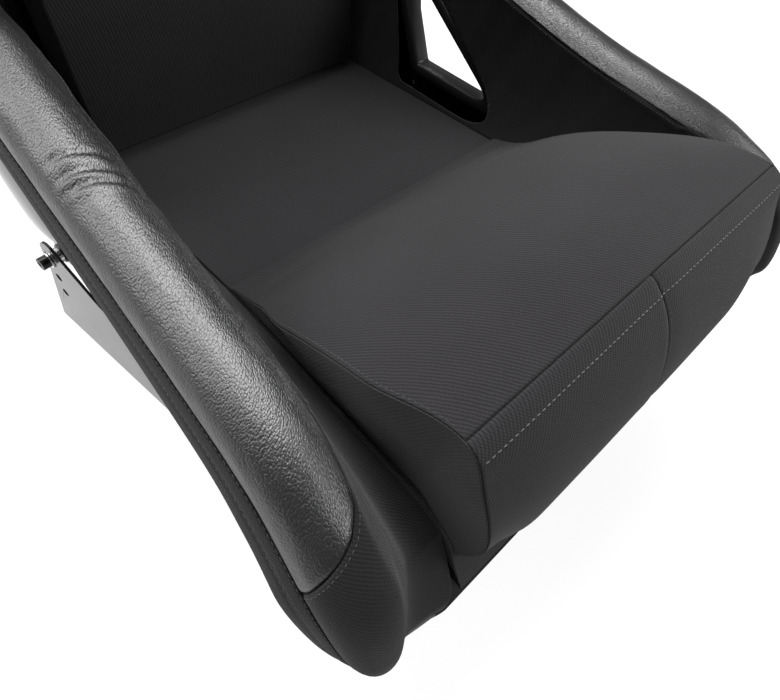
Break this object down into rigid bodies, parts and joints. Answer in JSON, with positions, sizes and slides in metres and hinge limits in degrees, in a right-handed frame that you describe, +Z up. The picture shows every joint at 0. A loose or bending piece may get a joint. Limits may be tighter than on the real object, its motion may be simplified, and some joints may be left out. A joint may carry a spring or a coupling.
{
  "type": "racing bucket seat",
  "caption": "Fixed-back racing bucket seat: one-piece glossy shell with rolled padded bolsters, framed belt openings, loose thigh and lumbar cushions, and steel side-mount brackets.",
  "frame": {"origin": "centre of the seat's plan outline on the floor that the brackets stand on", "axes": "+Z up, X across the seat, the occupant faces -Y"},
  "size_m": [0.5864, 0.8162, 0.9222],
  "materials": {
    "shell_gelcoat": "polished black gelcoat on glass fibre",
    "seat_knit": "fine ribbed black knit over foam",
    "bolster_knit": "fine ribbed black knit over foam",
    "roll_leather": "pebble-grained black leather, satin",
    "frame_plastic": "satin black moulding",
    "bracket_coat": "glossy black powder coat",
    "bolt_black": "black oxide",
    "zinc_plate": "bright zinc plating",
    "collar_black": "moulded black"
  },
  "bodies": {
    "seat": {"seat_shell": "shell_gelcoat", "seat_base_pad": "seat_knit", "backrest_pad": "seat_knit", "headrest_pad": "seat_knit", "thigh_bolster_left": "roll_leather", "thigh_bolster_right": "roll_leather", "torso_bolster_left": "bolster_knit", "torso_bolster_right": "bolster_knit", "head_bolster_left": "bolster_knit", "head_bolster_right": "bolster_knit", "lap_belt_frame_left": "frame_plastic", "lap_belt_frame_right": "frame_plastic", "shoulder_belt_frame_left": "frame_plastic", "shoulder_belt_frame_right": "frame_plastic", "left_side_mount_bracket": "bracket_coat", "right_side_mount_bracket": "bracket_coat", "bolt_rear_left": "bolt_black", "bolt_rear_right": "bolt_black", "bolt_front_left": "bolt_black", "bolt_front_right": "bolt_black", "washer_rear_left": "zinc_plate", "washer_rear_right": "zinc_plate", "washer_front_left": "zinc_plate", "washer_front_right": "zinc_plate", "spacer_sleeve_rear_left": "zinc_plate", "spacer_sleeve_rear_right": "zinc_plate", "spacer_sleeve_front_left": "zinc_plate", "spacer_sleeve_front_right": "zinc_plate", "spacer_collar_rear_left": "collar_black", "spacer_collar_rear_right": "collar_black", "spacer_collar_front_left": "collar_black", "spacer_collar_front_right": "collar_black", "threaded_insert_rear_left": "zinc_plate", "threaded_insert_rear_right": "zinc_plate", "threaded_insert_front_left": "zinc_plate", "threaded_insert_front_right": "zinc_plate"},
    "thigh_cushion": {"thigh_support_cushion": "seat_knit"},
    "lumbar_support": {"lumbar_cushion": "seat_knit"}
  },
  "joints": [
    {"name": "thigh_cushion_lift_off", "type": "slide", "parent": "seat", "child": "thigh_cushion", "axis": [0, -0.6157, 0.788], "range_m": [0, 0.3]},
    {"name": "lumbar_cushion_lift_off", "type": "slide", "parent": "seat", "child": "lumbar_support", "axis": [0, -0.6157, 0.788], "range_m": [0, 0.42]}
  ]
}
